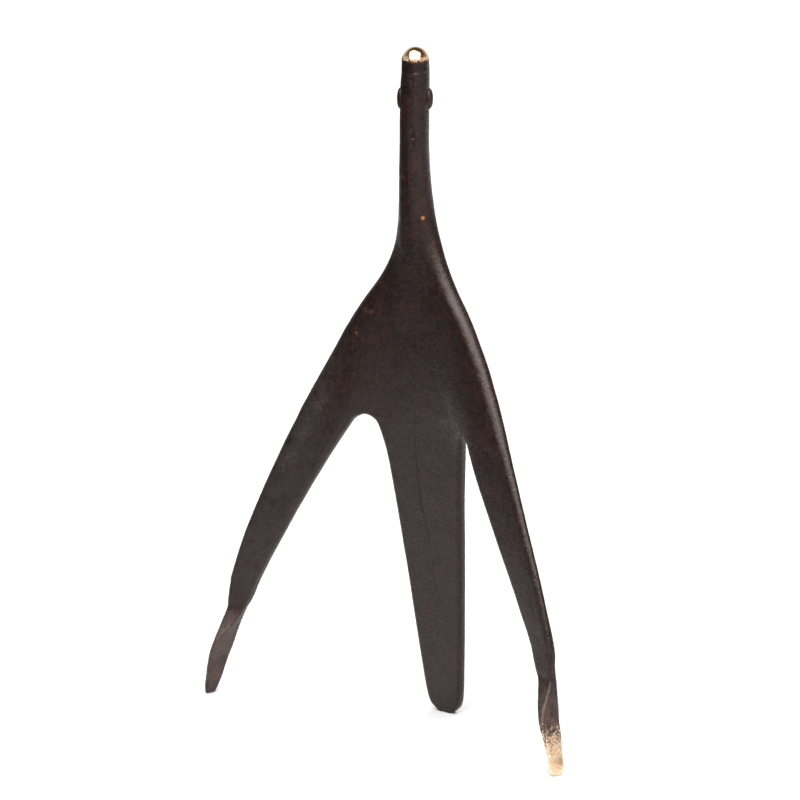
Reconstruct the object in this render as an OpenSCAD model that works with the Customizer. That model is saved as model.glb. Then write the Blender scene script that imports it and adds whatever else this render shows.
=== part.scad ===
// Free-standing three-legged figure: a spine casting, two legs let into its shoulders and riveted,
// a knob screwed on the neck, and a cross pin through the neck with a domed boss at each end.
// The figure stands on the soles of its three feet. Its trunk faces -Y, and +X is to the right
// for someone looking at that face. Origin: centre of the footprint, on the ground.

/* [Figure] */
// Overall height, from the soles to the top of the knob
figure_h = 260; // [220:5:300]
// Turn of the cross pin about the neck, from the line of the shoulders
head_turn = 36; // [0:2:60]

/* [Knob] */
// Height of the knob above the neck
knob_h = 8.5; // [7.5:0.5:9.5]
// Diameter of the stud that holds the knob
stud_d = 3; // [2:0.5:4]
// Length of the stud in the neck, and again in the knob
stud_reach = [8, 5]; // [3:1:9]

/* [Cross pin and bosses] */
// Height of the cross pin's centre line
pin_z = 240.5; // [238:0.5:241]
// Diameter of the cross pin
pin_d = 2.5; // [1.5:0.5:3]
// Height of a boss
boss_d = 8.4; // [6:0.2:9]
// Width of a boss
boss_w = 4.4; // [3.6:0.2:5]
// Distance from the neck's centre line to the top of a boss's dome
boss_reach = 6.7; // [6.4:0.1:7.5]
// Radius of the dome
boss_dome_r = 6; // [5:0.5:8]

/* [Leg joints] */
// Thickness of a leg's tongue
tongue_t = 2.4; // [1.6:0.2:2.8]
// Height of a leg's tongue
tongue_h = 20; // [12:1:24]
// Distance of the tongue's end from the middle of the spine
tongue_x = 5; // [3:0.5:7]
// Clearance around the tongue in its mortise
tongue_gap = 0.05; // [0.05:0.05:0.2]
// Sideways place and height of the rivet through the left leg's tongue
left_rivet_at = [8.1, 139]; // [8:0.1:142]
// Sideways place and height of the rivet through the right leg's tongue
right_rivet_at = [12.9, 142]; // [8:0.1:142]
// Diameter of the rivet
rivet_d = 2.5; // [2:0.5:3.5]

/* [Hidden] */

// All outlines below are for a figure of this height, and are scaled to figure_h.
reference_h = 260;
unit = figure_h / reference_h;

patina = [0.17, 0.14, 0.125];
bright = [0.86, 0.62, 0.34];

// Leg, from its sole to the crotch: height, inner edge, outer edge, depth position, half depth
leg_rows = [
    [0, 84.1, 86.9, -18.5, 2.1],
    [3, 83.1, 86.9, -18.4, 2.9],
    [7, 81.7, 85.7, -18.1, 3.3],
    [11, 80.6, 84.9, -18.1, 3.8],
    [15, 79.5, 83.8, -17.9, 4.3],
    [19, 78, 82.7, -17.7, 4.5],
    [24, 76.8, 81.5, -16.3, 4.1],
    [29, 75, 80.5, -14.5, 2.8],
    [34, 72.9, 79.7, -13.2, 1.8],
    [38, 70.5, 79.3, -13.3, 1.8],
    [45, 67.8, 78.7, -12.9, 1.9],
    [60, 59.7, 74.4, -12.4, 1.8],
    [80, 48.3, 66.4, -10.4, 1.8],
    [100, 36.6, 57.4, -7.8, 2.1],
    [110, 30.7, 52.6, -6.4, 2.5],
    [114, 28, 50.8, -5.8, 2.7],
    [116, 24.4, 49.8, -5.6, 2.8]
];
// Front face of the foot, which narrows to a ridge: height, inner edge, outer edge
front_rows = [
    [0, 84.6, 85.7],
    [7, 83.3, 84.7],
    [15, 81.4, 82.8],
    [19, 79.8, 81.5],
    [24, 77.4, 80.6],
    [29, 74.7, 80.3],
    [34, 72.4, 79.6],
    [38, 70.6, 79.2],
    [45, 67.8, 78.5]
];
// Shoulders and neck, above the crotch: height, outer edge, depth position there, half depth
shoulder_rows = [
    [116, 49.8, -5.5, 2.8],
    [130, 42.8, -3, 3.2],
    [140, 37.4, -1.4, 3.4],
    [150, 31.6, -0.3, 3.5],
    [160, 25.1, 0.9, 3.7],
    [170, 17.5, 2, 3.9],
    [180, 12, 2.3, 4.2],
    [190, 8.7, 2.1, 4.6],
    [200, 6.9, 1.6, 5],
    [215, 5.7, 0.9, 5.2],
    [235, 5.4, 0.9, 5.4],
    [245, 5.4, 1.1, 5.4],
    [252, 5.1, 1.6, 5.1]
];
// Blade at the back, from its sole to the crotch: height, half width, depth position, half depth
blade_rows = [
    [0, 3, 20, 1.7],
    [3, 6.6, 19.6, 1.8],
    [8, 8.2, 19.1, 1.8],
    [20, 9.7, 17.8, 1.8],
    [40, 11.7, 15.6, 1.9],
    [60, 13.7, 13.2, 1.9],
    [80, 15.7, 10.6, 2],
    [100, 18.1, 8, 2.2],
    [110, 19.9, 6.8, 2.5],
    [114, 21.3, 6.3, 2.7],
    [116, 24, 6.1, 2.8]
];
// Middle of the trunk above the crotch: height, depth position
middle_rows = [
    [116, 6.1],
    [125, 5],
    [140, 3.7],
    [155, 2.8],
    [170, 2.1],
    [185, 1.4],
    [200, 1],
    [215, 0.9],
    [235, 0.9],
    [245, 1.1],
    [252, 1.6]
];
// Corner radii as shares of the half depth: height, front outer corner, back outer corner
edge_rows = [
    [30, 0.5, 0.5],
    [45, 0.9, 0.5],
    [60, 1.2, 0.5],
    [90, 1.35, 0.5],
    [120, 1.35, 0.5],
    [150, 1.2, 0.6],
    [180, 1.1, 0.7],
    [200, 1, 0.9],
    [225, 1, 1]
];
// How far a leg's plate turns forward towards its outer edge: height, slope
lean_rows = [
    [0, 0], [10, 0.02], [20, 0.11], [30, 0.1], [40, 0.2], [60, 0.22],
    [80, 0.18], [116, 0.17], [130, 0.15], [252, 0.15]
];

crotch_z = 116;
scarf_z = 172;
scarf_x = 10;
leg_top_z = 179;
leg_top_w = 0.6;
foot_top = 45;
knob_z = reference_h - knob_h;
neck_r = 5.4;
knob_r = 5.2;

// Edges: corner radii of the inner edges as a share of the half depth, of the foot, and at a worked joint
inner_share = 0.6;
blade_share = 0.7;
foot_r = 0.55;
joint_edge = 0.3;
// Heights over which the foot's edges give way to the leg's
foot_z = [30, 60];
// The plate bends forward between these shares of its half width, at the crotch and at the shoulders
bend_z = [116, 150];
bend_low = [0.3, 0.65];
bend_high = [0.2, 0.8];
// The front falls back towards the outer edge by this share of the half depth, less at the neck
crown = 0.45;
crown_power = 2.5;
neck_from = [180, 215];
// Height below the crotch over which the legs' crown runs into the trunk's
crown_blend = 20;

// Smooth curve through rows of stations, at height z, for column k
function row_at(t, z, i = 0) = (i >= len(t) - 2 || z <= t[i + 1][0]) ? i : row_at(t, z, i + 1);
function slope(t, i, k) =
    let (a = max(i - 1, 0), b = min(i + 1, len(t) - 1))
    (t[b][k] - t[a][k]) / (t[b][0] - t[a][0]);
function curve(t, z, k) =
    let (i = row_at(t, z), h = t[i + 1][0] - t[i][0], u = (z - t[i][0]) / h)
    (2 * u ^ 3 - 3 * u ^ 2 + 1) * t[i][k] + (u ^ 3 - 2 * u ^ 2 + u) * h * slope(t, i, k)
    + (3 * u ^ 2 - 2 * u ^ 3) * t[i + 1][k] + (u ^ 3 - u ^ 2) * h * slope(t, i + 1, k);
function ramp(a, b, x) = let (u = min(max((x - a) / (b - a), 0), 1)) u * u * (3 - 2 * u);
function mix(a, b, s) = a * (1 - s) + b * s;

// Outer half width, depth position and half depth of the whole figure at height z
function outer_x(z) = z < crotch_z ? curve(leg_rows, z, 2) : curve(shoulder_rows, z, 1);
function outer_y(z) = z < crotch_z ? curve(leg_rows, z, 3) : curve(shoulder_rows, z, 2);
function outer_h(z) = z < crotch_z ? curve(leg_rows, z, 4) : curve(shoulder_rows, z, 3);
function middle_y(z) = z < crotch_z ? curve(blade_rows, z, 2) : curve(middle_rows, z, 1);
function middle_h(z) = z < crotch_z ? curve(blade_rows, z, 3) : curve(shoulder_rows, z, 3);

// Scarf line between spine and leg: from the crotch up, then out to the shoulder's edge
function scarf(z) = z < scarf_z
    ? mix(curve(leg_rows, crotch_z, 1), scarf_x, (z - crotch_z) / (scarf_z - crotch_z))
    : mix(scarf_x, outer_x(leg_top_z) - leg_top_w, (z - scarf_z) / (leg_top_z - scarf_z));

// Depth position of the middle of the plate at x: flat in the middle, with its sides bent forward
function leg_plane(x, z) = outer_y(z) + curve(lean_rows, z, 1) * (outer_x(z) - x);
function plate_y(x, z) =
    let (at = mix(bend_low, bend_high, ramp(bend_z[0], bend_z[1], z)) * outer_x(z))
    mix(middle_y(z), leg_plane(abs(x), z), ramp(at[0], at[1], abs(x)));

// 1 on the front face, falling to 0 on the back face of a plate of half depth h
function frontness(y, h) = min(max(0.5 - y / (2 * h), 0), 1);
// How far across the plate x lies, from 0 at its inner edge or middle to 1 at its outer edge
function across(x, z) =
    let (x0 = z < crotch_z ? curve(leg_rows, z, 1) : 0, w = outer_x(z))
    max(mix((abs(x) - x0) / (w - x0), abs(x) / w, ramp(crotch_z - crown_blend, crotch_z, z)), 0);
function fall_back(x, y, h, z) =
    crown * h * frontness(y, h) * across(x, z) ^ crown_power
    * ramp(foot_z[0], foot_z[1], z) * (1 - ramp(neck_from[0], neck_from[1], z));

// One section: a rectangle from x0 to x1 with rounded corners, n steps a corner and m a side
function arc(cx, cy, r, a, n) =
    [for (j = [0:n]) [cx + r * cos(a + 90 * j / n), cy + r * sin(a + 90 * j / n)]];
function side(xa, xb, y, m) = [for (j = [1:m - 1]) [mix(xa, xb, j / m), y]];
function section(x0, x1, h, r, n, m) = concat(
    arc(x0 + r[0], r[0] - h, r[0], 180, n),
    side(x0 + r[0], x1 - r[1], -h, m),
    arc(x1 - r[1], r[1] - h, r[1], 270, n),
    arc(x1 - r[2], h - r[2], r[2], 0, n),
    side(x1 - r[2], x0 + r[3], h, m),
    arc(x0 + r[3], h - r[3], r[3], 90, n));

// The foot's section is narrowed to the front's own edges
function foot_x(x, y, h, x0, x1, z) =
    let (a = curve(front_rows, z, 1), b = curve(front_rows, z, 2))
    mix(x, a + (x - x0) / (x1 - x0) * (b - a), frontness(y, h));
function leg_ring(z, n, m) =
    let (x0 = z < crotch_z ? curve(leg_rows, z, 1) : scarf(z),
         x1 = outer_x(z),
         h = outer_h(z),
         w = x1 - x0,
         leg = ramp(foot_z[0], foot_z[1], z),
         most = 0.45 * w,
         front_r = min(mix(foot_r, curve(edge_rows, z, 1) * h, leg), most),
         back_r = min(mix(foot_r, curve(edge_rows, z, 2) * h, leg), most),
         free_r = min(mix(foot_r, inner_share * h, leg), most),
         inner_r = min(mix(free_r, joint_edge, ramp(crotch_z - 2, crotch_z + 2, z)), 0.3 * w))
    [for (p = section(x0, x1, h, [inner_r, front_r, back_r, inner_r], n, m))
        let (x = z < foot_top ? foot_x(p[0], p[1], h, x0, x1, z) : p[0],
             y = p[1] + fall_back(p[0], p[1], h, z))
        [x, y + (z < foot_z[1] ? leg_plane(p[0], z) : plate_y(p[0], z)), z]];

function spine_half(z) = z < crotch_z ? curve(blade_rows, z, 1) : z <= leg_top_z ? scarf(z) : outer_x(z);
function spine_ring(z, n, m) =
    let (w = spine_half(z),
         h = middle_h(z),
         share = z < crotch_z ? [blade_share, blade_share] : [curve(edge_rows, z, 1), curve(edge_rows, z, 2)],
         r = [for (k = share) z >= crotch_z && z <= leg_top_z ? joint_edge
              : mix(min(k * h, 0.95 * w), joint_edge, z < crotch_z ? ramp(crotch_z - 4, crotch_z, z) : 0)])
    [for (p = section(-w, w, h, [r[0], r[0], r[1], r[1]], n, m))
        [p[0], p[1] + plate_y(p[0], z) + (z < crotch_z ? 0 : fall_back(p[0], p[1], h, z)), z]];

// Closed solid through a list of rings, each with the same number of points
module loft(rings) {
    n = len(rings[0]);
    last = len(rings) - 1;
    polyhedron(
        points = [for (ring = rings) each ring],
        faces = concat(
            [[for (j = [0:n - 1]) j]],
            [for (i = [0:last - 1]) for (j = [0:n - 1]) let (k = (j + 1) % n)
                let (a = i * n + j, b = a + n, c = (i + 1) * n + k, d = i * n + k)
                each [[a, b, c], [a, c, d]]],
            [[for (j = [n - 1:-1:0]) last * n + j]]));
}

leg_z = [for (z = [0:3:45]) z, for (z = [50:6:110]) z, 113, 115, 116, 118,
         for (z = [122:5:177]) z, leg_top_z];
spine_z = [0, 0.7, 1.6, 3, 5, for (z = [8:6:104]) z, 108, 111, 113, 115, 116, for (z = [121:5:176]) z,
           leg_top_z, leg_top_z + 1, for (z = [184:5:244]) z, 248, knob_z];
leg_corner_steps = 4;
leg_steps = 5;
spine_corner_steps = 5;
spine_steps = 8;

tongue_z = 140;
tongue_root = 21.5;
tongue_y = 3.4;
boss_base = 2.5;
dome_steps = 8;
pin_half = boss_reach - 0.6;
neck_y = plate_y(0, knob_z);

// Places the cross pin's own axis, +X here, through the neck
module on_pin_axis() translate([0, plate_y(0, pin_z), pin_z]) rotate([0, 0, head_turn]) children();
module tongue(gap, root)
    translate([tongue_x - gap, tongue_y - tongue_t / 2 - gap, tongue_z - tongue_h / 2 - gap])
    cube([root - tongue_x + gap, tongue_t + 2 * gap, tongue_h + 2 * gap]);
module rivet_shape(at) {
    translate([at[0], plate_y(at[0], at[1]), at[1]]) rotate([90, 0, 0])
        cylinder(d = rivet_d, h = 2 * middle_h(at[1]), center = true, $fn = 48);
}
module rivet_hole(at) {
    translate([at[0], 0, at[1]]) rotate([90, 0, 0])
        cylinder(d = rivet_d, h = 40, center = true, $fn = 48);
}
module leg_shape(rivet_at) difference() {
    union() {
        loft([for (z = leg_z) leg_ring(z, leg_corner_steps, leg_steps)]);
        tongue(0, tongue_root);
    }
    rivet_hole(rivet_at);
}
// Half section of a boss: a dome over a short straight rim, from the pin's axis outwards
boss_outline = let (rim = asin(boss_d / 2 / boss_dome_r)) concat(
    [[0, boss_base], [boss_d / 2, boss_base]],
    [for (j = [0:dome_steps]) let (a = rim * (1 - j / dome_steps))
        [boss_dome_r * sin(a), boss_reach - boss_dome_r * (1 - cos(a))]]);
module boss_shape() difference() {
    intersection() {
        rotate([0, 90, 0]) rotate_extrude($fn = 96) polygon(boss_outline);
        cube([4 * boss_reach, boss_w, 2 * boss_d], center = true);
    }
    cylinder(r = neck_r, h = 2 * boss_d, center = true, $fn = 96);
    rotate([0, 90, 0]) cylinder(d = pin_d, h = pin_half, $fn = 48);
}

module spine() color(patina) scale(unit) difference() {
    loft([for (z = spine_z) spine_ring(z, spine_corner_steps, spine_steps)]);
    tongue(tongue_gap, 2 * tongue_root);
    rivet_hole(right_rivet_at);
    mirror([1, 0, 0]) {
        tongue(tongue_gap, 2 * tongue_root);
        rivet_hole(left_rivet_at);
    }
    on_pin_axis() rotate([0, 90, 0]) cylinder(d = pin_d, h = 4 * neck_r, center = true, $fn = 48);
    translate([0, neck_y, knob_z - stud_reach[0]]) cylinder(d = stud_d, h = stud_reach[0] + 1, $fn = 48);
}
module right_leg() color(patina) scale(unit) leg_shape(right_rivet_at);
module left_leg() color(patina) scale(unit) mirror([1, 0, 0]) leg_shape(left_rivet_at);
module right_leg_rivet() color(bright) scale(unit) rivet_shape(right_rivet_at);
module left_leg_rivet() color(bright) scale(unit) mirror([1, 0, 0]) rivet_shape(left_rivet_at);

// The knob is a dome on a short round foot
module knob() color(bright) scale(unit) translate([0, neck_y, knob_z]) difference() {
    union() {
        cylinder(r = knob_r, h = knob_h - knob_r, $fn = 96);
        intersection() {
            translate([0, 0, knob_h - knob_r]) sphere(r = knob_r, $fn = 96);
            cylinder(r = 2 * knob_r, h = knob_h, $fn = 96);
        }
    }
    translate([0, 0, -1]) cylinder(d = stud_d, h = stud_reach[1] + 1, $fn = 48);
}
module knob_stud() color(bright) scale(unit) translate([0, neck_y, knob_z - stud_reach[0]])
    cylinder(d = stud_d, h = stud_reach[0] + stud_reach[1], $fn = 48);
module cross_pin() color(bright) scale(unit) on_pin_axis() rotate([0, 90, 0])
    cylinder(d = pin_d, h = 2 * pin_half, center = true, $fn = 48);
module right_boss() color(patina) scale(unit) on_pin_axis() boss_shape();
module left_boss() color(patina) scale(unit) on_pin_axis() rotate([0, 0, 180]) boss_shape();

spine();
left_leg();
right_leg();
left_leg_rivet();
right_leg_rivet();
knob();
knob_stud();
cross_pin();
left_boss();
right_boss();
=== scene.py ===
"""Looks of the three-legged brass figure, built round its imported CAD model.

The three castings are lofted from the same stations as the design, fused, softened as a filed casting is,
and cut again along their joints. Figures in the tables are millimetres; the scene is in metres.
"""

import math

import bmesh
import bpy
import numpy as np
from mathutils import Matrix, Vector
from mathutils.bvhtree import BVHTree


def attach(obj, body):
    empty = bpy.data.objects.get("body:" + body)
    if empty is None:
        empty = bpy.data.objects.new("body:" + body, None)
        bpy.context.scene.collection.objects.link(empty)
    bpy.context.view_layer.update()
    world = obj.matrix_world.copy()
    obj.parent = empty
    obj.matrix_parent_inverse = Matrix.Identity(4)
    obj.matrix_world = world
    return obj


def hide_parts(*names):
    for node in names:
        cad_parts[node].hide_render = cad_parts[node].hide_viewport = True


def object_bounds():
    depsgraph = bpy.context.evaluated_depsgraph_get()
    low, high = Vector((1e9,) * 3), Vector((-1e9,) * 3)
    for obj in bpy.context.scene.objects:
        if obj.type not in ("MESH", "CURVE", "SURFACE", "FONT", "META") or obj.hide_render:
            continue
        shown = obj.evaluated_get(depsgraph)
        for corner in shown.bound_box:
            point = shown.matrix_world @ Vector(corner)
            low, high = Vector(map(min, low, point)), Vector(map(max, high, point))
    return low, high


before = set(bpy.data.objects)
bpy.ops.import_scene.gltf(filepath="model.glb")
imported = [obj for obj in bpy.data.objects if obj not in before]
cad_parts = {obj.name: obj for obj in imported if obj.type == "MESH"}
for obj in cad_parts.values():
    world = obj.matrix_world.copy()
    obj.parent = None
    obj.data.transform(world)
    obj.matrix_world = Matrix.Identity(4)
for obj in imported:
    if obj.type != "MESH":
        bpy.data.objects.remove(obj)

cad_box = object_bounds()
scene = bpy.context.scene

MM = 0.001
BODY = "root"

# ---------------------------------------------------------------------------------------------------------
# Stations of the castings
# ---------------------------------------------------------------------------------------------------------

# Leg up to the crotch: height, inner edge, outer edge, depth position, half depth
LEG = np.array([
    [0, 84.1, 86.9, -18.5, 2.1],
    [3, 83.1, 86.9, -18.4, 2.9],
    [7, 81.7, 85.7, -18.1, 3.3],
    [11, 80.6, 84.9, -18.1, 3.8],
    [15, 79.5, 83.8, -17.9, 4.3],
    [19, 78, 82.7, -17.7, 4.5],
    [24, 76.8, 81.5, -16.3, 4.1],
    [29, 75, 80.5, -14.5, 2.8],
    [34, 72.9, 79.7, -13.2, 1.8],
    [38, 70.5, 79.3, -13.3, 1.8],
    [45, 67.8, 78.7, -12.9, 1.95],
    [60, 59.7, 74.4, -12.4, 1.75],
    [80, 48.3, 66.4, -10.4, 1.8],
    [100, 36.6, 57.4, -7.8, 2.1],
    [110, 30.7, 52.6, -6.4, 2.5],
    [114, 28, 50.8, -5.8, 2.7],
    [116, 24.4, 49.8, -5.6, 2.8],
])
# Front face of a leg, which narrows to a ridge in the foot: height, inner edge, outer edge
FOOT_FRONT = np.array([
    [0, 84.6, 85.7],
    [7, 83.3, 84.7],
    [15, 81.4, 82.8],
    [19, 79.8, 81.5],
    [24, 77.4, 80.6],
    [29, 74.7, 80.3],
    [34, 72.4, 79.6],
    [38, 70.6, 79.2],
    [45, 67.8, 78.5],
])
# Shoulders and neck: height, outer edge, depth position there, half depth
SHOULDER = np.array([
    [116, 49.8, -5.55, 2.8],
    [130, 42.8, -3, 3.2],
    [140, 37.35, -1.45, 3.4],
    [150, 31.6, -0.3, 3.5],
    [160, 25.1, 0.9, 3.7],
    [170, 17.5, 2, 3.9],
    [180, 11.98, 2.26, 4.2],
    [190, 8.69, 2.08, 4.6],
    [200, 6.9, 1.55, 5],
    [215, 5.65, 0.9, 5.2],
    [235, 5.4, 0.9, 5.4],
    [245, 5.4, 1.1, 5.4],
    [252, 5.1, 1.6, 5.1],
])
# Blade: height, half width, depth position, half depth
BLADE = np.array([
    [0, 3, 20.0, 1.7],
    [3, 6.6, 19.6, 1.8],
    [8, 8.2, 19.1, 1.8],
    [20, 9.7, 17.8, 1.8],
    [40, 11.7, 15.6, 1.9],
    [60, 13.7, 13.2, 1.9],
    [80, 15.7, 10.6, 2],
    [100, 18.1, 8, 2.2],
    [110, 19.9, 6.8, 2.5],
    [114, 21.3, 6.3, 2.7],
    [116, 24, 6.1, 2.8],
])
# Middle of the trunk: height, depth position
MIDDLE = np.array([
    [116, 6.1], [125, 5.0], [140, 3.7], [155, 2.8], [170, 2.1], [185, 1.4],
    [200, 1.0], [215, 0.9], [235, 0.9], [245, 1.1], [252, 1.6],
])
# Corner radii as shares of the half depth: height, front outer corner, back outer corner
ROUNDING = np.array([
    [30, 0.5, 0.5], [45, 0.9, 0.5], [60, 1.2, 0.5], [90, 1.35, 0.5], [120, 1.35, 0.5],
    [150, 1.25, 0.55], [180, 1.1, 0.7], [200, 1, 0.9], [225, 1, 1],
])
INNER_ROUNDING = 0.6
FOOT_RADIUS = 0.55

CROTCH_Z = 116
NECK_TOP_Z = 251.5
# How far a leg's plate turns forward towards its outer edge: height, slope
LEAN = np.array([[0, 0], [10, 0.02], [20, 0.11], [30, 0.1], [40, 0.2], [60, 0.22], [80, 0.18], [116, 0.17],
                 [130, 0.15], [252, 0.15]])
# Heights between which the foot's worked edges give way to the leg's
FOOT_Z = (30, 60)
# Shares of the half width between which the plate bends forward, below the first height in BEND_Z and above
# the second
BEND_Z = (116, 150)
BEND_LOW, BEND_HIGH = (0.3, 0.65), (0.2, 0.8)
# How far the front face falls back towards an outer edge, as a share of the half depth, and how late it does
CROWN, CROWN_POWER = 0.45, 2.5
# Height below the crotch over which a leg's section takes on the trunk's
CROWN_BLEND = 20
# Heights between which the flat shoulders turn into the round neck
NECK_Z = (180, 215)

# Joint line between spine and leg: sideways place, height
SCARF = [(23.5, -5), (23.5, CROTCH_Z), (10, 172), (11.1, 179), (100, 179), (100, -5)]


def ramp(low, high, x):
    """0 below low and 1 above high, with a smooth step between."""
    u = np.clip((np.asarray(x, float) - low) / (high - low), 0, 1)
    return u * u * (3 - 2 * u)


def mix(a, b, share):
    return a * (1 - share) + b * share


def station(table, z):
    """The table's columns after the height, on a smooth curve through its rows, at height z."""
    z = float(np.clip(z, table[0, 0], table[-1, 0]))
    i = int(np.clip(np.searchsorted(table[:, 0], z) - 1, 0, len(table) - 2))

    def slope(j):
        a, b = max(j - 1, 0), min(j + 1, len(table) - 1)
        return (table[b, 1:] - table[a, 1:]) / (table[b, 0] - table[a, 0])

    step = table[i + 1, 0] - table[i, 0]
    u = (z - table[i, 0]) / step
    return ((2 * u**3 - 3 * u**2 + 1) * table[i, 1:] + (u**3 - 2 * u**2 + u) * step * slope(i)
            + (3 * u**2 - 2 * u**3) * table[i + 1, 1:] + (u**3 - u**2) * step * slope(i + 1))


def edge_of(z):
    """Outer half width, depth position and half depth of the whole figure at height z."""
    return station(LEG, z)[1:] if z < CROTCH_Z else station(SHOULDER, z)


def plate_y(x, z):
    """Depth position of the middle of the plate: flat in the middle, its sides bent forward."""
    outer, y, _ = edge_of(z)
    middle = station(BLADE, z)[1] if z < CROTCH_Z else station(MIDDLE, z)[0]
    side = y + station(LEAN, z)[0] * (outer - np.abs(x))
    start, end = mix(np.array(BEND_LOW), np.array(BEND_HIGH), ramp(*BEND_Z, z))
    bend = ramp(start * outer, end * outer, np.abs(x))
    return mix(middle, side, bend)


def section(x0, x1, half, radii, across, steps=8):
    """Rounded rectangle as (x, y) points, anticlockwise from its front corner at x0, as radii are."""
    def arc(cx, cy, r, start):
        a = np.radians(start + np.linspace(0, 90, steps + 1))
        return np.c_[cx + r * np.cos(a), cy + r * np.sin(a)]

    def side(xa, xb, y):
        x = np.linspace(xa, xb, across + 1)[1:-1]
        return np.c_[x, np.full(len(x), y)]

    a, b, c, d = radii
    return np.concatenate([
        arc(x0 + a, a - half, a, 180), side(x0 + a, x1 - b, -half),
        arc(x1 - b, b - half, b, 270), arc(x1 - c, half - c, c, 0),
        side(x1 - c, x0 + d, half), arc(x0 + d, half - d, d, 90)])


def crowned(p, half, share, amount):
    """Lets the front face fall back towards the outer edge, where share is 1."""
    front = np.clip(0.5 - p[:, 1] / (2 * half), 0, 1)
    p[:, 1] += amount * CROWN * half * front * np.clip(share, 0, 1) ** CROWN_POWER
    return p


def placed(p, middle, z):
    return np.c_[p[:, 0], middle + p[:, 1], np.full(len(p), z)]


def leg_ring(z):
    x0, x1, y, half = station(LEG, z)
    foot = 1 - ramp(*FOOT_Z, z)
    front_r, back_r = station(ROUNDING, z) * half
    radii = np.array([INNER_ROUNDING * half, front_r, back_r, INNER_ROUNDING * half])
    radii = np.minimum(mix(radii, FOOT_RADIUS, foot), 0.45 * (x1 - x0))
    p = section(x0, x1, half, radii, 16)
    if z < FOOT_FRONT[-1, 0]:
        fa, fb = station(FOOT_FRONT, z)
        share = (p[:, 0] - x0) / (x1 - x0)
        front = np.clip(0.5 - p[:, 1] / (2 * half), 0, 1)
        p[:, 0] = mix(p[:, 0], fa + share * (fb - fa), front)
    share = mix((p[:, 0] - x0) / (x1 - x0), p[:, 0] / x1, ramp(CROTCH_Z - CROWN_BLEND, CROTCH_Z, z))
    p = crowned(p, half, share, 1 - foot)
    if z < FOOT_Z[1]:
        return placed(p, y + station(LEAN, z)[0] * (x1 - p[:, 0]), z)
    return placed(p, plate_y(p[:, 0], z), z)


def blade_ring(z):
    w, _, half = station(BLADE, z)
    r = min(0.7 * half, 0.95 * w)
    p = section(-w, w, half, [r] * 4, 30)
    return placed(p, plate_y(p[:, 0], z), z)


def trunk_ring(z):
    w, _, half = station(SHOULDER, z)
    front_r, back_r = np.minimum(station(ROUNDING, z) * half, 0.98 * w)
    p = section(-w, w, half, [front_r, front_r, back_r, back_r], 60)
    p = crowned(p, half, np.abs(p[:, 0]) / w, 1 - ramp(*NECK_Z, z))
    return placed(p, plate_y(p[:, 0], z), z)


# ---------------------------------------------------------------------------------------------------------
# Mesh tools
# ---------------------------------------------------------------------------------------------------------

def new_object(name, verts, faces):
    """A mesh object from vertices in millimetres."""
    mesh = bpy.data.meshes.new(name)
    mesh.from_pydata((np.asarray(verts) * MM).tolist(), [], faces)
    mesh.validate()
    obj = bpy.data.objects.new(name, mesh)
    scene.collection.objects.link(obj)
    return obj


def loft(name, rings):
    """A closed solid through rings that have the same number of points."""
    n = len(rings[0])
    faces = [list(range(n - 1, -1, -1))]
    for i in range(len(rings) - 1):
        low, high = i * n, (i + 1) * n
        faces += [[low + j, low + (j + 1) % n, high + (j + 1) % n, high + j] for j in range(n)]
    faces.append([(len(rings) - 1) * n + j for j in range(n)])
    return new_object(name, np.concatenate(rings), faces)


def lathe(name, outline, segments, wide=1.0):
    """A closed solid turned about +Z from (radius, height) points; wide scales it along its own Y."""
    a = np.radians(np.arange(segments) * 360 / segments)
    return loft(name, [np.c_[r * np.cos(a), wide * r * np.sin(a), np.full(segments, z)]
                       for r, z in outline])


def apply_modifiers(obj):
    """Bakes the object's modifiers into its own mesh."""
    evaluated = obj.evaluated_get(bpy.context.evaluated_depsgraph_get())
    mesh = bpy.data.meshes.new_from_object(evaluated)
    obj.modifiers.clear()
    old, obj.data = obj.data, mesh
    bpy.data.meshes.remove(old)
    return obj


def remove(obj):
    bpy.data.objects.remove(obj)


def coords(obj):
    """Vertices in millimetres."""
    co = np.empty(len(obj.data.vertices) * 3, np.float32)
    obj.data.vertices.foreach_get("co", co)
    return co.reshape(-1, 3).astype(float) / MM


def set_coords(obj, co):
    obj.data.vertices.foreach_set("co", (co * MM).astype(np.float32).ravel())
    obj.data.update()


def normals(obj):
    no = np.empty(len(obj.data.vertices) * 3, np.float32)
    obj.data.vertices.foreach_get("normal", no)
    return no.reshape(-1, 3).astype(float)


def edges(obj):
    pairs = np.empty(len(obj.data.edges) * 2, np.int32)
    obj.data.edges.foreach_get("vertices", pairs)
    return pairs.reshape(-1, 2)


def neighbour_mean(values, pairs):
    total = np.zeros_like(values)
    count = np.bincount(pairs.ravel(), minlength=len(values)).astype(float)
    for k in range(values.shape[1]):
        total[:, k] = (np.bincount(pairs[:, 0], values[pairs[:, 1], k], len(values))
                       + np.bincount(pairs[:, 1], values[pairs[:, 0], k], len(values)))
    return total / np.maximum(count, 1)[:, None]


def soften(co, pairs, share, rounds):
    """Moves each vertex towards its neighbours' mean, by the share given for it, several times."""
    for _ in range(rounds):
        co = co + share[:, None] * (neighbour_mean(co, pairs) - co)
    return co


def lumps(points, size, seed):
    """Smooth noise from -1 to 1, with lumps about size across."""
    cell = np.floor(points / size).astype(np.int64)
    f = points / size - cell
    f = f * f * (3 - 2 * f)
    total = np.zeros(len(points))
    for corner in range(8):
        bits = np.array([corner & 1, corner >> 1 & 1, corner >> 2 & 1])
        c = cell + bits
        h = (c[:, 0] * 73856093) ^ (c[:, 1] * 19349663) ^ (c[:, 2] * 83492791) ^ (seed * 2654435761)
        h = (h ^ (h >> 13)) * 1274126177 & 0x7FFFFFFF
        weight = np.prod(np.where(bits, f, 1 - f), axis=1)
        total += weight * ((h & 0xFFFF) / 32767.5 - 1)
    return total


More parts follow.
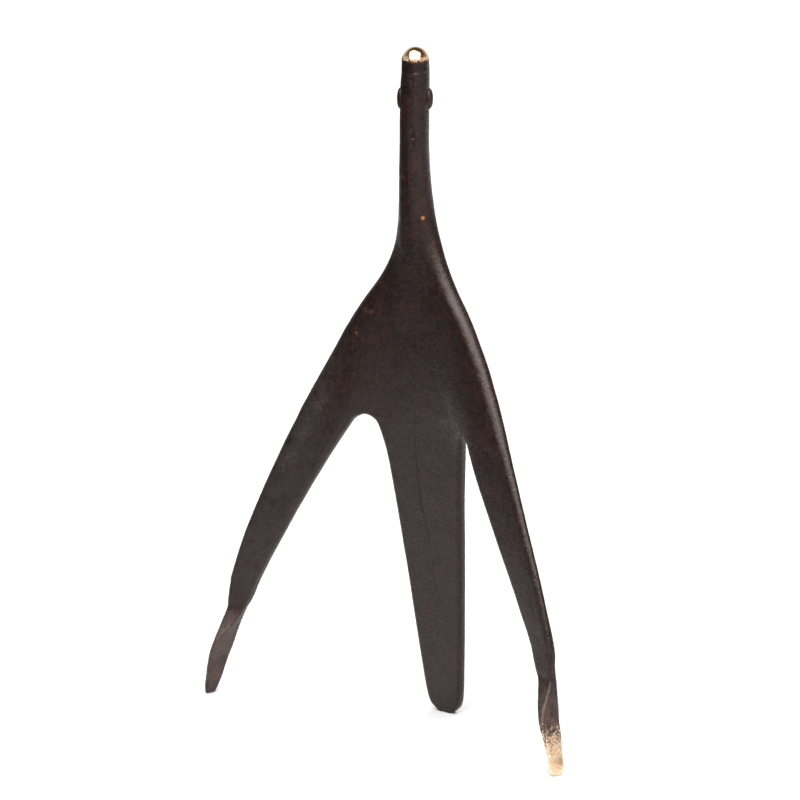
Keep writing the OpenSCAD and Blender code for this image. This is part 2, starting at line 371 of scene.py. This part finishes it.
def near_line(co, points, radius):
    """1 on the line through the points, falling smoothly to 0 at about twice the radius from it."""
    best = np.full(len(co), np.inf)
    points = np.asarray(points, float)
    for a, b in zip(points[:-1], points[1:]):
        along = np.clip((co - a) @ (b - a) / ((b - a) @ (b - a)), 0, 1)
        best = np.minimum(best, np.linalg.norm(co - a - along[:, None] * (b - a), axis=1))
    return np.exp(-(best / radius) ** 2)


def near(co, centre, radius):
    return np.exp(-(np.linalg.norm(co - np.asarray(centre), axis=1) / radius) ** 2)


def add_attribute(obj, name, values):
    layer = obj.data.attributes.new(name, "FLOAT", "POINT")
    layer.data.foreach_set("value", np.clip(values, 0, 1).astype(np.float32))


def smooth(obj, sharp_above):
    """Smooth shading, with sharp edges where two faces meet at more than the angle in degrees."""
    obj.data.polygons.foreach_set("use_smooth", [True] * len(obj.data.polygons))
    obj.data.set_sharp_from_angle(angle=math.radians(sharp_above))


# ---------------------------------------------------------------------------------------------------------
# Castings: marks of use and of making, in millimetres
# ---------------------------------------------------------------------------------------------------------

VOXEL = 0.45
SKIN_ALLOWANCE = 0.12

# Hairline crease down the trunk and blade
CREASE = [(5.8, 1.0, 140.2), (-0.2, 2.4, 124.8), (-1.6, 3.4, 115.1), (-2.7, 4.5, 108.5),
          (-2.6, 7.9, 84.6), (-0.4, 9.4, 73.0), (1.6, 12.3, 49.4)]
SCRATCH = [(-11.5, 0.5, 146.9), (-11.0, 0.9, 141.2), (-10.4, 1.1, 138.1)]
# Patches rubbed down to coppery metal: two ends, radius
WORN = [((-23.2, -2.0, 156.9), (-18.3, -1.5, 156.0), 0.9), ((-26.1, -2.6, 148.6), (-25.7, -2.4, 147), 0.8),
        ((16.4, 2.8, 119.0), (17.5, 2.4, 116.8), 0.8), ((23.8, -0.6, 117.5), (25, -1.2, 114.5), 0.9),
        ((42.7, -6.2, 123.4), (43.1, -6.2, 121.4), 0.5)]
# Patches of grey bloom: two ends, radius
BLOOM = [((-38.5, -6.0, 121.5), (-40.8, -6.4, 117), 2.2), ((-45.2, -7.5, 110), (-47.6, -7.8, 105), 2.4),
         ((-52.0, -9.0, 98), (-55.2, -9.5, 92), 2.6), ((12, 2.5, 117), (21, 0.5, 117), 2.2),
         ((76.5, -19.0, 39), (73.0, -16.0, 52), 3.0), ((-77.5, -18.5, 30), (-81.0, -20.0, 14), 3.5)]
# Slit in the neck: two ends; casting pits in the left foot: centre
SLIT = [(3.1, -3.6, 228.0), (3.2, -3.6, 224.6)]
PITS = [(-81.2, -18.3, 14.5), (-81.9, -19.2, 12.7), (-78.9, -19.7, 22.4)]

# Soft ridge down the upper neck, with a shallow hollow on each side: azimuth, heights where it fades in
RIDGE_AZIMUTH = 40
RIDGE_Z = (230, 236)
RIDGE_RISE, RIDGE_SPREAD = 0.28, 12
HOLLOW_DEPTH, HOLLOW_AWAY, HOLLOW_SPREAD = 0.16, 38, 20


def fused_castings():
    """Trunk, blade and legs as one skin of even small faces."""
    trunk = loft("trunk", [trunk_ring(z) for z in np.arange(CROTCH_Z, NECK_TOP_Z + 0.01, 0.5)])
    blade = loft("blade", [blade_ring(z) for z in np.r_[0:4:0.25, 4:CROTCH_Z + 0.1:1.0, CROTCH_Z + 0.3]])
    rings = [leg_ring(z) for z in np.r_[0:CROTCH_Z + 0.1:0.5, CROTCH_Z + 0.3]]
    right = loft("right", rings)
    left = loft("left", [ring[::-1] * [-1, 1, 1] for ring in rings])
    for other in (blade, right, left):
        bm = bmesh.new()
        bm.from_mesh(trunk.data)
        bm.from_mesh(other.data)
        bm.to_mesh(trunk.data)
        bm.free()
        remove(other)
    remesh = trunk.modifiers.new("remesh", "REMESH")
    remesh.mode = "VOXEL"
    remesh.voxel_size = VOXEL * MM
    return apply_modifiers(trunk)


def neck_shape(co):
    """How far the neck stands out of round."""
    centre_y = np.interp(co[:, 2], MIDDLE[:, 0], MIDDLE[:, 1])
    azimuth = np.degrees(np.arctan2(co[:, 0], centre_y - co[:, 1]))
    away = (azimuth - RIDGE_AZIMUTH + 180) % 360 - 180
    ridge = RIDGE_RISE * np.exp(-(away / RIDGE_SPREAD) ** 2)
    hollow = HOLLOW_DEPTH * np.exp(-((np.abs(away) - HOLLOW_AWAY) / HOLLOW_SPREAD) ** 2)
    return (ridge - hollow) * ramp(*RIDGE_Z, co[:, 2])


def sculpt(skin):
    """Softens the skin and works its fine shape into it; returns how sharply each vertex stands out."""
    co, pairs = coords(skin), edges(skin)
    foot = 1 - ramp(*FOOT_Z, co[:, 2])
    co = soften(co, pairs, mix(0.5, 0.3, foot), 3)
    crotch = np.exp(-((co[:, 2] - CROTCH_Z) / 6) ** 2) * (np.abs(co[:, 0]) < 40)
    co = soften(co, pairs, 0.6 * crotch, 14)
    set_coords(skin, co)

    out = normals(skin)
    worn = np.sum((co - neighbour_mean(neighbour_mean(co, pairs), pairs)) * out, axis=1)
    broad = 0.13 * lumps(co, 19, 1) + 0.07 * lumps(co, 8, 2) + 0.03 * lumps(co, 3, 3)
    swell = SKIN_ALLOWANCE + broad * mix(1, 0.4, foot)
    swell += neck_shape(co)
    swell -= 0.14 * near_line(co, CREASE, 0.35) * (0.8 + 0.5 * lumps(co, 5, 6))
    swell -= 0.1 * near_line(co, SCRATCH, 0.3)
    swell -= 0.5 * near_line(co, SLIT, 0.6)
    for centre in PITS:
        swell -= 0.45 * near(co, centre, 0.6)
    for a, b, radius in BLOOM + WORN:
        swell -= 0.06 * near_line(co, [a, b], radius) * (1 + lumps(co, 1.2, 4))
    swell *= ramp(0, 0.6, co[:, 2])
    set_coords(skin, co + out * swell[:, None])
    return worn


def prism(name, side):
    """The space beyond one leg's joint line: side is 1 for the right leg and -1 for the left."""
    rings = [[(side * x, y, z) for x, z in SCARF] for y in (-60, 60)]
    obj = loft(name, [np.array(r) for r in rings])
    bm = bmesh.new()
    bm.from_mesh(obj.data)
    bmesh.ops.recalc_face_normals(bm, faces=bm.faces)
    bm.to_mesh(obj.data)
    bm.free()
    return obj


def cut(skin, name, cutters, operation):
    """A closed copy of the skin, cut by each of the cutters."""
    obj = skin.copy()
    obj.data = skin.data.copy()
    obj.name = obj.data.name = name
    scene.collection.objects.link(obj)
    for cutter in cutters:
        boolean = obj.modifiers.new(cutter.name, "BOOLEAN")
        boolean.solver = "MANIFOLD"
        boolean.operation = operation
        boolean.object = cutter
    return apply_modifiers(obj)


def casting_attributes(obj):
    """Where the casting is rubbed, bloomed and creased, for its material."""
    co = coords(obj)
    rough_edge = 1 + 0.5 * lumps(co, 1.6, 5)
    worn = sum(near_line(co, [a, b], r * rough_edge) for a, b, r in WORN)
    bloom = sum(near_line(co, [a, b], r * rough_edge) for a, b, r in BLOOM)
    add_attribute(obj, "worn", worn)
    add_attribute(obj, "bloom", bloom)
    faint = 0.75 + 0.45 * lumps(co, 6, 6)
    add_attribute(obj, "crease", faint * near_line(co, CREASE, 0.35) + 0.5 * near_line(co, SCRATCH, 0.3))


skin = fused_castings()
worn_edge = sculpt(skin)
add_attribute(skin, "edge", worn_edge / 0.05)
cutters = {"right": prism("right_cutter", 1), "left": prism("left_cutter", -1)}
pieces = {
    "spine_cast": cut(skin, "spine_cast", cutters.values(), "DIFFERENCE"),
    "right_leg_cast": cut(skin, "right_leg_cast", [cutters["right"]], "INTERSECT"),
    "left_leg_cast": cut(skin, "left_leg_cast", [cutters["left"]], "INTERSECT"),
}
skin_tree = BVHTree.FromObject(skin, bpy.context.evaluated_depsgraph_get())
for obj in (skin, *cutters.values()):
    remove(obj)
for (name, obj), node in zip(pieces.items(), ("spine", "right_leg", "left_leg")):
    smooth(obj, 60)
    casting_attributes(obj)
    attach(obj, BODY)
    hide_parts(node)

# ---------------------------------------------------------------------------------------------------------
# Knob, bosses and rivets
# ---------------------------------------------------------------------------------------------------------

KNOB_R = 5.15
KNOB_H = 8.5
PIN_Z = 240.5
BOSS_TURN = 36
BOSS_R = 4.2
BOSS_WIDE = 0.5
BOSS_BASE, BOSS_REACH = 4.0, {1: 6.95, -1: 6.5}
RIVET_R = 1.25
RIVETS = {"left_rivet": (-8.1, 139.0, "left_leg_rivet"), "right_rivet": (12.9, 142.0, "right_leg_rivet")}


def place(obj, matrix):
    """Bakes a placing in millimetres into the mesh."""
    obj.data.transform(Matrix.Scale(MM, 4) @ matrix @ Matrix.Scale(1 / MM, 4))
    obj.data.update()
    return obj


def knob():
    rim = 3.1
    straight = [(0.3, -0.8), (4.9, -0.8), (5.2, -0.72), (5.25, -0.4), (5.22, 0.4), (5.2, 1.2), (KNOB_R, 2.0),
                (KNOB_R, rim)]
    dome = [(KNOB_R * math.cos(a), rim + (KNOB_H - rim) * math.sin(a))
            for a in np.radians(np.linspace(2, 89.4, 44))]
    obj = lathe("polished_knob", straight + dome, 128)
    co = coords(obj)
    out = normals(obj)
    swell = 0.05 * lumps(co, 2.6, 11) + 0.02 * lumps(co, 0.9, 12)
    swell += 0.15 * near(co, (-4.3, -2.6, 4.2), 0.9)
    swell -= 0.22 * near(co, (5.0, 1.5, 1.2), 0.8)
    set_coords(obj, co + out * (swell * ramp(-0.7, 0, co[:, 2]))[:, None])
    return place(obj, Matrix.Translation((0, MIDDLE[-1, 1], NECK_TOP_Z)))


def boss(name, side):
    """A domed boss on the end of the cross pin, taller than it is wide."""
    outline = [(0.05, BOSS_BASE), (BOSS_R, BOSS_BASE), (BOSS_R, 5.0)]
    outline += [(BOSS_R * math.cos(a) ** 0.8, 5.0 + (BOSS_REACH[side] - 5.0) * math.sin(a))
                for a in np.radians(np.linspace(4, 88, 24))]
    obj = lathe(name, outline, 72, BOSS_WIDE)
    co = coords(obj)
    out = normals(obj)
    swell = (0.06 * lumps(co + 40 * side, 2.2, 21) + 0.03 * lumps(co, 0.9, 22)) * ramp(4.2, 5.2, co[:, 2])
    set_coords(obj, co + out * swell[:, None])
    turn = Matrix.Rotation(math.radians(BOSS_TURN + (0 if side > 0 else 180)), 4, "Z")
    centre = (0, float(np.interp(PIN_Z, MIDDLE[:, 0], MIDDLE[:, 1])), PIN_Z)
    upright = Matrix.Rotation(math.radians(90), 4, "Y")
    return place(obj, Matrix.Translation(centre) @ turn @ upright)


def skin_y(x, z, from_front):
    """Depth of the fused skin at (x, z), met from the front or from the back."""
    start = Vector((x, -60 if from_front else 60, z)) * MM
    hit = skin_tree.ray_cast(start, Vector((0, 1 if from_front else -1, 0)))[0]
    return hit.y / MM


def rivet(name, x, z):
    """A shank peened flush at both ends, with a low crown."""
    front, back = skin_y(x, z, True), skin_y(x, z, False)
    length = back - front
    crown = 0.06
    outline = [(0.05, -crown), (0.5, -0.8 * crown), (0.95, -0.4 * crown), (RIVET_R, 0.05)]
    outline += [(RIVET_R, t * length) for t in (0.25, 0.5, 0.75)]
    outline += [(r, length - h) for r, h in outline[3::-1]]
    obj = lathe(name, outline, 48)
    co = coords(obj)
    co += normals(obj) * (0.03 * lumps(co, 0.7, 31))[:, None]
    set_coords(obj, co)
    return place(obj, Matrix.Translation((x, front, z)) @ Matrix.Rotation(math.radians(-90), 4, "X"))


polished_knob = knob()
bosses = [boss("right_boss_dome", 1), boss("left_boss_dome", -1)]
rivets = [rivet(name, x, z) for name, (x, z, _) in RIVETS.items()]
for obj, node, slot in [(polished_knob, "knob", "bright_brass"),
                        (bosses[0], "right_boss", "dark_patina"), (bosses[1], "left_boss", "dark_patina"),
                        *[(r, RIVETS[r.name][2], "dark_patina") for r in rivets]]:
    smooth(obj, 40)
    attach(obj, BODY)
    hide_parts(node)

# ---------------------------------------------------------------------------------------------------------
# Materials
# ---------------------------------------------------------------------------------------------------------

# Patina, with painted shade and painted light among it, from dark to pale
# Painted shade in the slit in the neck
SLIT_PAINTED_SHADE = (0.0005, 0.0003, 0.0003)
PORE = (0.0018, 0.0009, 0.0007)
# Soot in specks, and painted shade along the crease and the scratch
SOOT_AND_CREASE_SHADE = (0.004, 0.003, 0.003)
DARK = (0.0042, 0.0019, 0.0015)
UMBER = (0.0070, 0.0034, 0.0027)
KNOB_UMBER = (0.012, 0.006, 0.005)
STREAK = (0.0125, 0.0060, 0.0048)
RUSSET = (0.0140, 0.0042, 0.0034)
PORE_RIM = (0.0150, 0.0070, 0.0056)
# Painted light that lightens the left leg
LEFT_LEG_PAINTED_LIGHT = (0.020, 0.0165, 0.0155)
GRAIN = (0.021, 0.012, 0.0095)
BRUSHED = (0.026, 0.019, 0.017)
THIN_PATINA = (0.052, 0.033, 0.027)
GREY = (0.060, 0.053, 0.049)
PALE = (0.35, 0.3, 0.26)
# Bare metal
COPPER = (0.22, 0.075, 0.026)
TURNED_BRASS, TURNED_PALE = (0.5, 0.33, 0.16), (0.62, 0.44, 0.23)
WARM_BRASS = (0.93, 0.70, 0.46)
BRASS = (0.95, 0.58, 0.35)
PALE_BRASS = (0.98, 0.80, 0.60)
PATINA_SPECULAR = 0.31
PATINA_TINT = (1.0, 0.89, 0.85, 1)
# Stretch of noise that runs up and down
BRUSHING, STREAKING = (1, 1, 0.06), (1, 1, 0.15)


class Nodes:
    """A material's node tree, with short calls for the nodes used here."""

    def __init__(self, name):
        self.material = bpy.data.materials.new(name)
        self.material.use_nodes = True
        self.tree = self.material.node_tree
        self.shader = self.tree.nodes["Principled BSDF"]
        self.place = self.new("ShaderNodeTexCoord").outputs["Object"]

    def new(self, kind, **settings):
        node = self.tree.nodes.new(kind)
        for key, value in settings.items():
            setattr(node, key, value)
        return node

    def feed(self, socket, value):
        if isinstance(value, bpy.types.NodeSocket):
            self.tree.links.new(value, socket)
        elif isinstance(value, tuple) and socket.type == "RGBA":
            socket.default_value = (*value, 1)
        else:
            socket.default_value = value

    def math(self, operation, a, b=0.0):
        node = self.new("ShaderNodeMath", operation=operation)
        self.feed(node.inputs[0], a)
        self.feed(node.inputs[1], b)
        return node.outputs[0]

    def times(self, a, b):
        return self.math("MULTIPLY", a, b)

    def ramp(self, value, low, high):
        """0 at low and 1 at high, with a smooth step between; low may be the greater."""
        node = self.new("ShaderNodeMapRange", interpolation_type="SMOOTHSTEP")
        self.feed(node.inputs["Value"], value)
        self.feed(node.inputs["From Min"], low)
        self.feed(node.inputs["From Max"], high)
        return node.outputs["Result"]

    def mix(self, share, a, b):
        node = self.new("ShaderNodeMix", data_type="RGBA")
        self.feed(node.inputs["Factor"], share)
        self.feed(node.inputs[6], a)
        self.feed(node.inputs[7], b)
        return node.outputs[2]

    def over(self, colour, mask, share, layer):
        """The layer's colour laid over colour, as far as share where the mask is 1."""
        return self.mix(self.times(mask, share), colour, layer)

    def scaled(self, scale):
        """Position in the part's own frame, stretched by scale."""
        node = self.new("ShaderNodeVectorMath", operation="MULTIPLY")
        self.feed(node.inputs[0], self.place)
        node.inputs[1].default_value = scale
        return node.outputs[0]

    def noise(self, size, detail=2.0, rough=0.5, stretch=(1, 1, 1)):
        """Noise with features about size millimetres across, divided by stretch along each axis."""
        k = 1 / (size * MM)
        node = self.new("ShaderNodeTexNoise")
        self.feed(node.inputs["Vector"], self.scaled(tuple(k * s for s in stretch)))
        node.inputs["Scale"].default_value = 1
        node.inputs["Detail"].default_value = detail
        node.inputs["Roughness"].default_value = rough
        return node.outputs["Fac"]

    def cells(self, size):
        """Distance to the nearest of points about size millimetres apart."""
        node = self.new("ShaderNodeTexVoronoi")
        self.feed(node.inputs["Vector"], self.scaled((1 / (size * MM),) * 3))
        node.inputs["Scale"].default_value = 1
        return node.outputs["Distance"]

    def xyz(self):
        """Position in millimetres, as three values."""
        node = self.new("ShaderNodeSeparateXYZ")
        self.feed(node.inputs[0], self.scaled((1 / MM,) * 3))
        return node.outputs

    def spot(self, centre, radius):
        """1 within radius millimetres of a point."""
        node = self.new("ShaderNodeVectorMath", operation="DISTANCE")
        self.feed(node.inputs[0], self.scaled((1 / MM,) * 3))
        node.inputs[1].default_value = centre
        return self.ramp(node.outputs["Value"], radius * 1.3, radius * 0.6)

    def attribute(self, name):
        return self.new("ShaderNodeAttribute", attribute_name=name).outputs["Fac"]

    def bump(self, layers):
        """Chains (height, depth in millimetres) layers into the shader's normal."""
        normal = None
        for value, depth in layers:
            node = self.new("ShaderNodeBump")
            node.inputs["Distance"].default_value = depth * MM
            self.feed(node.inputs["Height"], value)
            if normal is not None:
                self.feed(node.inputs["Normal"], normal)
            normal = node.outputs["Normal"]
        self.feed(self.shader.inputs["Normal"], normal)


# Spots of colour, among them the painted shade in the neck's slit: centres, with radii where they differ
SLIT_SHADE = [(2.9, -3.6, 227.8), (2.8, -3.6, 226.8), (2.9, -3.6, 225.8), (3.2, -3.5, 224.8),
              (3.5, -3.4, 223.9)]
SLIT_RADIUS = 0.95
SLIT_GLINT = ((3.0, -3.5, 226.2), 0.45)
ORANGE_DOTS = [((6.1, -1.3, 196.3), 0.8), ((-1.2, -4.1, 211.7), 0.4), ((-25.9, -2.5, 147.4), 0.45)]
PALE_DOTS = [((-8.1, 1.1, 138.9), 0.3), ((12.9, 0.7, 142.0), 0.35), ((0.4, 2.2, 126.7), 0.25)]
BLADE_CHIP = ((9.4, 15.6, 12.5), 0.8)


def patina(name, casting):
    """Dark waxed patina on cast brass; a casting also has its marks of wear, painted shade in its crease and
    slit, and painted light on its left leg.
    """
    n = Nodes(name)
    patches = n.noise(7, 4, 0.6)
    pores = n.noise(2.0, 4, 0.65)
    grain = n.noise(0.9, 4, 0.7)
    brushed = n.noise(0.45, 3, 0.6, BRUSHING)
    tone = n.math("ADD", n.times(n.noise(24, 3, 0.55), 0.45), n.times(patches, 0.55))
    specks = n.times(n.ramp(n.cells(2.6), 0.12, 0.04), n.ramp(patches, 0.5, 0.6))
    colour = n.mix(n.ramp(tone, 0.36, 0.66), DARK, UMBER)
    for mask, share, layer in [
            (n.ramp(n.noise(6, 4, 0.7), 0.48, 0.66), 0.8, RUSSET),
            (n.ramp(pores, 0.45, 0.68), 0.55, PORE_RIM),
            (n.ramp(pores, 0.5, 0.34), 0.4, PORE),
            (n.ramp(grain, 0.52, 0.72), 0.35, GRAIN),
            (n.ramp(brushed, 0.6, 0.8), 0.25, BRUSHED),
            (n.ramp(n.noise(1.6, 3, 0.6, STREAKING), 0.5, 0.68), 0.5, STREAK),
            (specks, 0.4, SOOT_AND_CREASE_SHADE)]:
        colour = n.over(colour, mask, share, layer)
    rough = n.math("ADD", n.times(pores, 0.08), n.math("ADD", 0.15, n.times(grain, 0.2)))
    metal = 0.0
    relief = [(patches, 0.22), (pores, 0.16), (grain, 0.2), (n.noise(0.4, 3, 0.7), 0.07), (brushed, 0.04)]
    if casting:
        colour = worn_colour(n, colour)
        colour, rough = marked(n, colour, rough)
        crease = n.attribute("crease")
        # Painted shade along the crease and the scratch
        colour = n.over(colour, crease, 0.8, SOOT_AND_CREASE_SHADE)
        colour, rough, metal = gold_tip(n, colour, rough)
        rough = n.math("ADD", rough, n.times(crease, 0.5))
        relief.append((crease, -0.1))
    n.feed(n.shader.inputs["Base Color"], colour)
    n.feed(n.shader.inputs["Roughness"], rough)
    n.feed(n.shader.inputs["Metallic"], metal)
    n.shader.inputs["Specular IOR Level"].default_value = PATINA_SPECULAR
    n.shader.inputs["Specular Tint"].default_value = PATINA_TINT
    n.bump(relief)
    return n.material


def worn_colour(n, colour):
    """Grey bloom, thin patina on the feet, painted light that lightens the left leg, and coppery rubbed
    places.
    """
    x, _, z = n.xyz()
    bloom = n.times(n.attribute("bloom"), n.ramp(n.noise(1.3, 4, 0.7), 0.38, 0.66))
    colour = n.over(colour, bloom, 0.6, GREY)
    thin = n.times(n.ramp(z, 38, 22), n.ramp(n.noise(5, 4, 0.6), 0.25, 0.6))
    thin = n.times(thin, n.ramp(n.math("ABSOLUTE", x), 50, 55))
    colour = n.over(colour, thin, 0.85, THIN_PATINA)
    # Painted light: a pale grey lift over the left leg above its foot
    left_leg_light = n.times(n.ramp(x, -24, -46), n.ramp(n.noise(4, 4, 0.6), 0.15, 0.6))
    colour = n.over(colour, n.times(left_leg_light, n.ramp(z, 30, 42)), 0.6, LEFT_LEG_PAINTED_LIGHT)
    rub = n.times(n.attribute("worn"), n.ramp(n.noise(0.8, 3, 0.7), 0.45, 0.62))
    edge = n.times(n.ramp(n.attribute("edge"), 0.35, 1), n.ramp(n.noise(2.2, 4, 0.7), 0.5, 0.7))
    return n.mix(n.math("MAXIMUM", n.times(rub, 0.26), n.times(edge, 0.06)), colour, COPPER)


def marked(n, colour, rough):
    """Small coppery and pale spots, and painted shade in the slit in the neck, with a glint in it."""
    for centre, radius in ORANGE_DOTS:
        colour = n.over(colour, n.spot(centre, radius), 0.95, COPPER)
    for centre, radius in PALE_DOTS + [BLADE_CHIP]:
        colour = n.over(colour, n.spot(centre, radius), 0.8, PALE)
    # Painted shade darkens the slit
    for centre in SLIT_SHADE:
        dark = n.spot(centre, SLIT_RADIUS)
        colour = n.mix(dark, colour, SLIT_PAINTED_SHADE)
        rough = n.math("MAXIMUM", rough, dark)
    return n.over(colour, n.spot(*SLIT_GLINT), 0.7, COPPER), rough


def gold_tip(n, colour, rough):
    """The end of the right foot, rubbed to bare brass at the sole and in specks above it."""
    x, _, z = n.xyz()
    speck = n.noise(0.75, 2, 0.6)
    bare = n.ramp(n.math("ADD", speck, n.times(n.ramp(z, 27, 4), 0.5)), 0.74, 0.86)
    bare = n.times(bare, n.ramp(z, 25.5, 21))
    bare = n.math("MAXIMUM", bare, n.ramp(n.math("ADD", z, n.times(speck, 5)), 9.5, 6.5))
    bare = n.times(bare, n.ramp(x, 60, 65))
    brass = n.mix(n.ramp(n.noise(1.1, 3, 0.6), 0.35, 0.7), BRASS, PALE_BRASS)
    return n.mix(bare, colour, brass), n.math("ADD", rough, n.times(bare, -0.12)), n.times(bare, 0.95)


def polished(name):
    """Polished brass of the knob, with patina left in its foot."""
    n = Nodes(name)
    rise = n.math("SUBTRACT", n.xyz()[2], NECK_TOP_Z)
    ragged = n.noise(0.8, 3, 0.7)
    level = n.math("ADD", rise, n.times(n.math("SUBTRACT", ragged, 0.5), 11))
    specks = n.times(n.ramp(ragged, 0.5, 0.58), n.ramp(rise, 6.0, 3.6))
    kept = n.math("MAXIMUM", n.ramp(level, 4.9, 3.8), specks)
    brass = n.mix(n.ramp(n.noise(1.8, 3, 0.6), 0.4, 0.7), BRASS, WARM_BRASS)
    dark = n.mix(n.ramp(n.noise(0.9, 4, 0.7), 0.42, 0.62), DARK, KNOB_UMBER)
    n.feed(n.shader.inputs["Base Color"], n.mix(kept, brass, dark))
    n.feed(n.shader.inputs["Metallic"], n.ramp(kept, 0.5, 0.05))
    n.feed(n.shader.inputs["Roughness"], n.math("ADD", 0.15, n.times(kept, 0.14)))
    n.shader.inputs["Specular IOR Level"].default_value = PATINA_SPECULAR
    n.shader.inputs["Specular Tint"].default_value = PATINA_TINT
    n.bump([(n.noise(0.9, 3, 0.6), 0.05), (n.noise(0.25, 2, 0.6, (1, 1, 0.3)), 0.006)])
    return n.material


def turned(name):
    """Dull turned brass with tool lines."""
    n = Nodes(name)
    lines = n.noise(0.25, 2, 0.5)
    colour = n.mix(n.ramp(n.noise(2, 3, 0.6), 0.35, 0.7), TURNED_BRASS, TURNED_PALE)
    n.feed(n.shader.inputs["Base Color"], colour)
    n.feed(n.shader.inputs["Roughness"], n.math("ADD", 0.32, n.times(lines, 0.15)))
    n.shader.inputs["Metallic"].default_value = 1
    n.bump([(lines, 0.03)])
    return n.material


def dress(obj, material):
    obj.data.materials.clear()
    obj.data.materials.append(material)


patina_and_painted_light_cast = patina("patina_and_painted_light_cast", True)
patina_small = patina("patina_small", False)
for obj in pieces.values():
    dress(obj, patina_and_painted_light_cast)
for obj in bosses + rivets:
    dress(obj, patina_small)
dress(polished_knob, polished("polished_brass"))
turned_brass = turned("turned_brass")
for node in ("knob_stud", "cross_pin"):
    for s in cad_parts[node].material_slots:
        s.material = turned_brass

# ---------------------------------------------------------------------------------------------------------
# Camera, floor and light
# ---------------------------------------------------------------------------------------------------------

CAMERA_AZIMUTH, CAMERA_ELEVATION = 40.4, 14.6
CAMERA_DISTANCE = 4.0
VIEW_WIDTH = 0.2985
AIM_RIGHT, AIM_DROP = -0.006, 0.0051


def direction(azimuth, elevation):
    """Unit vector from the figure; azimuth 0 is its front and 90 its +X side."""
    a, e = math.radians(azimuth), math.radians(elevation)
    return Vector((math.sin(a) * math.cos(e), -math.cos(a) * math.cos(e), math.sin(e)))


def make_camera():
    low, high = cad_box
    back = direction(CAMERA_AZIMUTH, CAMERA_ELEVATION)
    right = direction(CAMERA_AZIMUTH + 90, 0)
    aim = Vector((0, 0.002, (low.z + high.z) / 2 - AIM_DROP)) + right * AIM_RIGHT
    camera = bpy.data.objects.new("camera", bpy.data.cameras.new("camera"))
    scene.collection.objects.link(camera)
    camera.data.sensor_width = 36
    camera.data.lens = camera.data.sensor_width * CAMERA_DISTANCE / VIEW_WIDTH
    camera.location = aim + back * CAMERA_DISTANCE
    camera.rotation_mode = "QUATERNION"
    camera.rotation_quaternion = (-back).to_track_quat("-Z", "Y")
    camera.data.clip_start, camera.data.clip_end = 0.1, 60
    scene.camera = camera


FLOOR_SIZE = 14
# Sideways places, seen from the camera, between which the paper's edges fade into the studio floor
SWEEP_LEFT, SWEEP_RIGHT = (-0.38, -0.2), (1.2, 1.6)
PAPER, STUDIO_FLOOR = (0.355, 0.355, 0.355), (0.03, 0.03, 0.03)


def make_floor():
    """A studio floor with a white paper sweep on it, which runs along the camera's line of sight."""
    h = FLOOR_SIZE / 2 / MM
    floor = new_object("floor", [(-h, -h, 0), (h, -h, 0), (h, h, 0), (-h, h, 0)], [[0, 1, 2, 3]])
    floor.rotation_euler.z = math.radians(CAMERA_AZIMUTH)
    n = Nodes("floor_paper")
    x = n.times(n.xyz()[0], MM)
    paper = n.times(n.ramp(x, *SWEEP_LEFT), n.ramp(x, *SWEEP_RIGHT[::-1]))
    n.feed(n.shader.inputs["Base Color"], n.mix(paper, STUDIO_FLOOR, PAPER))
    n.shader.inputs["Roughness"].default_value = 0.9
    n.shader.inputs["Specular IOR Level"].default_value = 0
    dress(floor, n.material)


def softbox(name, azimuth, elevation, distance, size, watts, aim=(0, 0, 0.13)):
    """A soft area light that faces the figure."""
    light = bpy.data.lights.new(name, "AREA")
    light.shape = "RECTANGLE"
    light.size, light.size_y = size
    light.energy = watts
    obj = bpy.data.objects.new(name, light)
    scene.collection.objects.link(obj)
    at = direction(azimuth, elevation)
    obj.location = Vector(aim) + at * distance
    obj.rotation_mode = "QUATERNION"
    obj.rotation_quaternion = (-at).to_track_quat("-Z", "Y")
    return obj


# Where the backdrop fades in, as cosines from the line of sight and as heights, and how bright things are
BACKDROP_SPREAD, BACKDROP_HEIGHT = (0.1, 0.9), (0.25, 0.75)
BACKDROP_LIGHT, STUDIO_LIGHT = 0.7, 0.05


def make_world():
    """A dim studio with a pale backdrop behind the figure."""
    world = bpy.data.worlds.new("studio")
    world.use_nodes = True
    tree = world.node_tree
    background = tree.nodes["Background"]
    ray = tree.nodes.new("ShaderNodeTexCoord").outputs["Generated"]

    def share(axis, low, high):
        dot = tree.nodes.new("ShaderNodeVectorMath")
        dot.operation = "DOT_PRODUCT"
        tree.links.new(ray, dot.inputs[0])
        dot.inputs[1].default_value = axis
        node = tree.nodes.new("ShaderNodeMapRange")
        node.interpolation_type = "SMOOTHSTEP"
        tree.links.new(dot.outputs["Value"], node.inputs["Value"])
        node.inputs["From Min"].default_value = low
        node.inputs["From Max"].default_value = high
        return node.outputs["Result"]

    both = tree.nodes.new("ShaderNodeMath")
    both.operation = "MULTIPLY"
    tree.links.new(share(-direction(CAMERA_AZIMUTH, 0), *BACKDROP_SPREAD), both.inputs[0])
    tree.links.new(share((0, 0, 1), *BACKDROP_HEIGHT[::-1]), both.inputs[1])
    strength = tree.nodes.new("ShaderNodeMath")
    strength.operation = "MULTIPLY_ADD"
    tree.links.new(both.outputs[0], strength.inputs[0])
    strength.inputs[1].default_value = BACKDROP_LIGHT
    strength.inputs[2].default_value = STUDIO_LIGHT
    tree.links.new(strength.outputs[0], background.inputs["Strength"])
    background.inputs["Color"].default_value = (1, 1, 1, 1)
    scene.world = world


def make_lights():
    """Two softboxes for the figure, and a light for the paper behind it, which the figure doesn't mirror."""
    softbox("key_softbox", CAMERA_AZIMUTH - 10, 60, 1.6, (2.4, 2.0), 135)
    softbox("rim_softbox", CAMERA_AZIMUTH + 28, 38, 1.6, (0.8, 0.9), 11)
    sweep_light = softbox("sweep_light", CAMERA_AZIMUTH + 155, 62, 1.9, (1.8, 1.4), 110, (-0.35, 0.8, 0))
    sweep_light.visible_glossy = False


make_camera()
make_floor()
make_world()
make_lights()
scene.view_settings.view_transform = "Standard"
